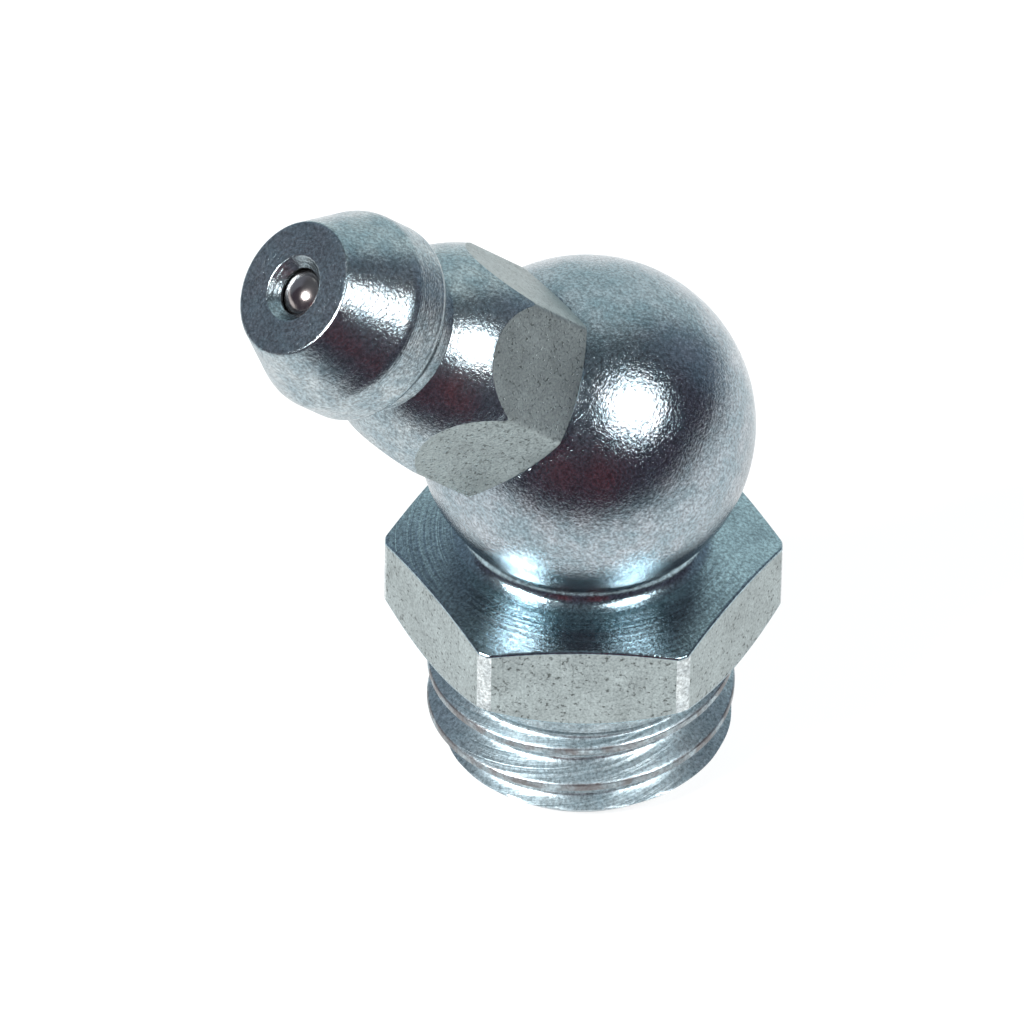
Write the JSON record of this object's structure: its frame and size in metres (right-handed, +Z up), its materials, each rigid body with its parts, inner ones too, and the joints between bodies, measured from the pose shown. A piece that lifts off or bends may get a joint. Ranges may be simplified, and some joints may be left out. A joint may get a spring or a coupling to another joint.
{
  "type": "grease nipple",
  "caption": "Angled grease nipple: threaded stub, hexagon flange and ball, with a pressed-in head leaning at about 45 degrees and a sprung check ball behind its orifice.",
  "frame": {"origin": "on the stub's axis, in the seat plane under the hexagon flange", "axes": "+Z up the stub's axis through the ball, +X the way that the head leans, over a flat of the hexagon"},
  "size_m": [0.0174, 0.0126, 0.0241],
  "materials": {
    "zinc_plated_body": "satin",
    "zinc_plated_head": "satin",
    "bearing_steel": "polished",
    "spring_steel": "satin"
  },
  "bodies": {
    "nipple": {"elbow_body": "zinc_plated_body", "nipple_head": "zinc_plated_head", "valve_spring": "spring_steel"},
    "valve_ball": {"check_ball": "bearing_steel"}
  },
  "joints": [
    {"name": "check_ball_lift", "type": "slide", "parent": "nipple", "child": "valve_ball", "axis": [-0.7314, 0, -0.682], "range_m": [0, 0.0008], "stiffness_N_per_m": 150, "springref_m": -0.001, "deforming": ["valve_spring"]}
  ]
}
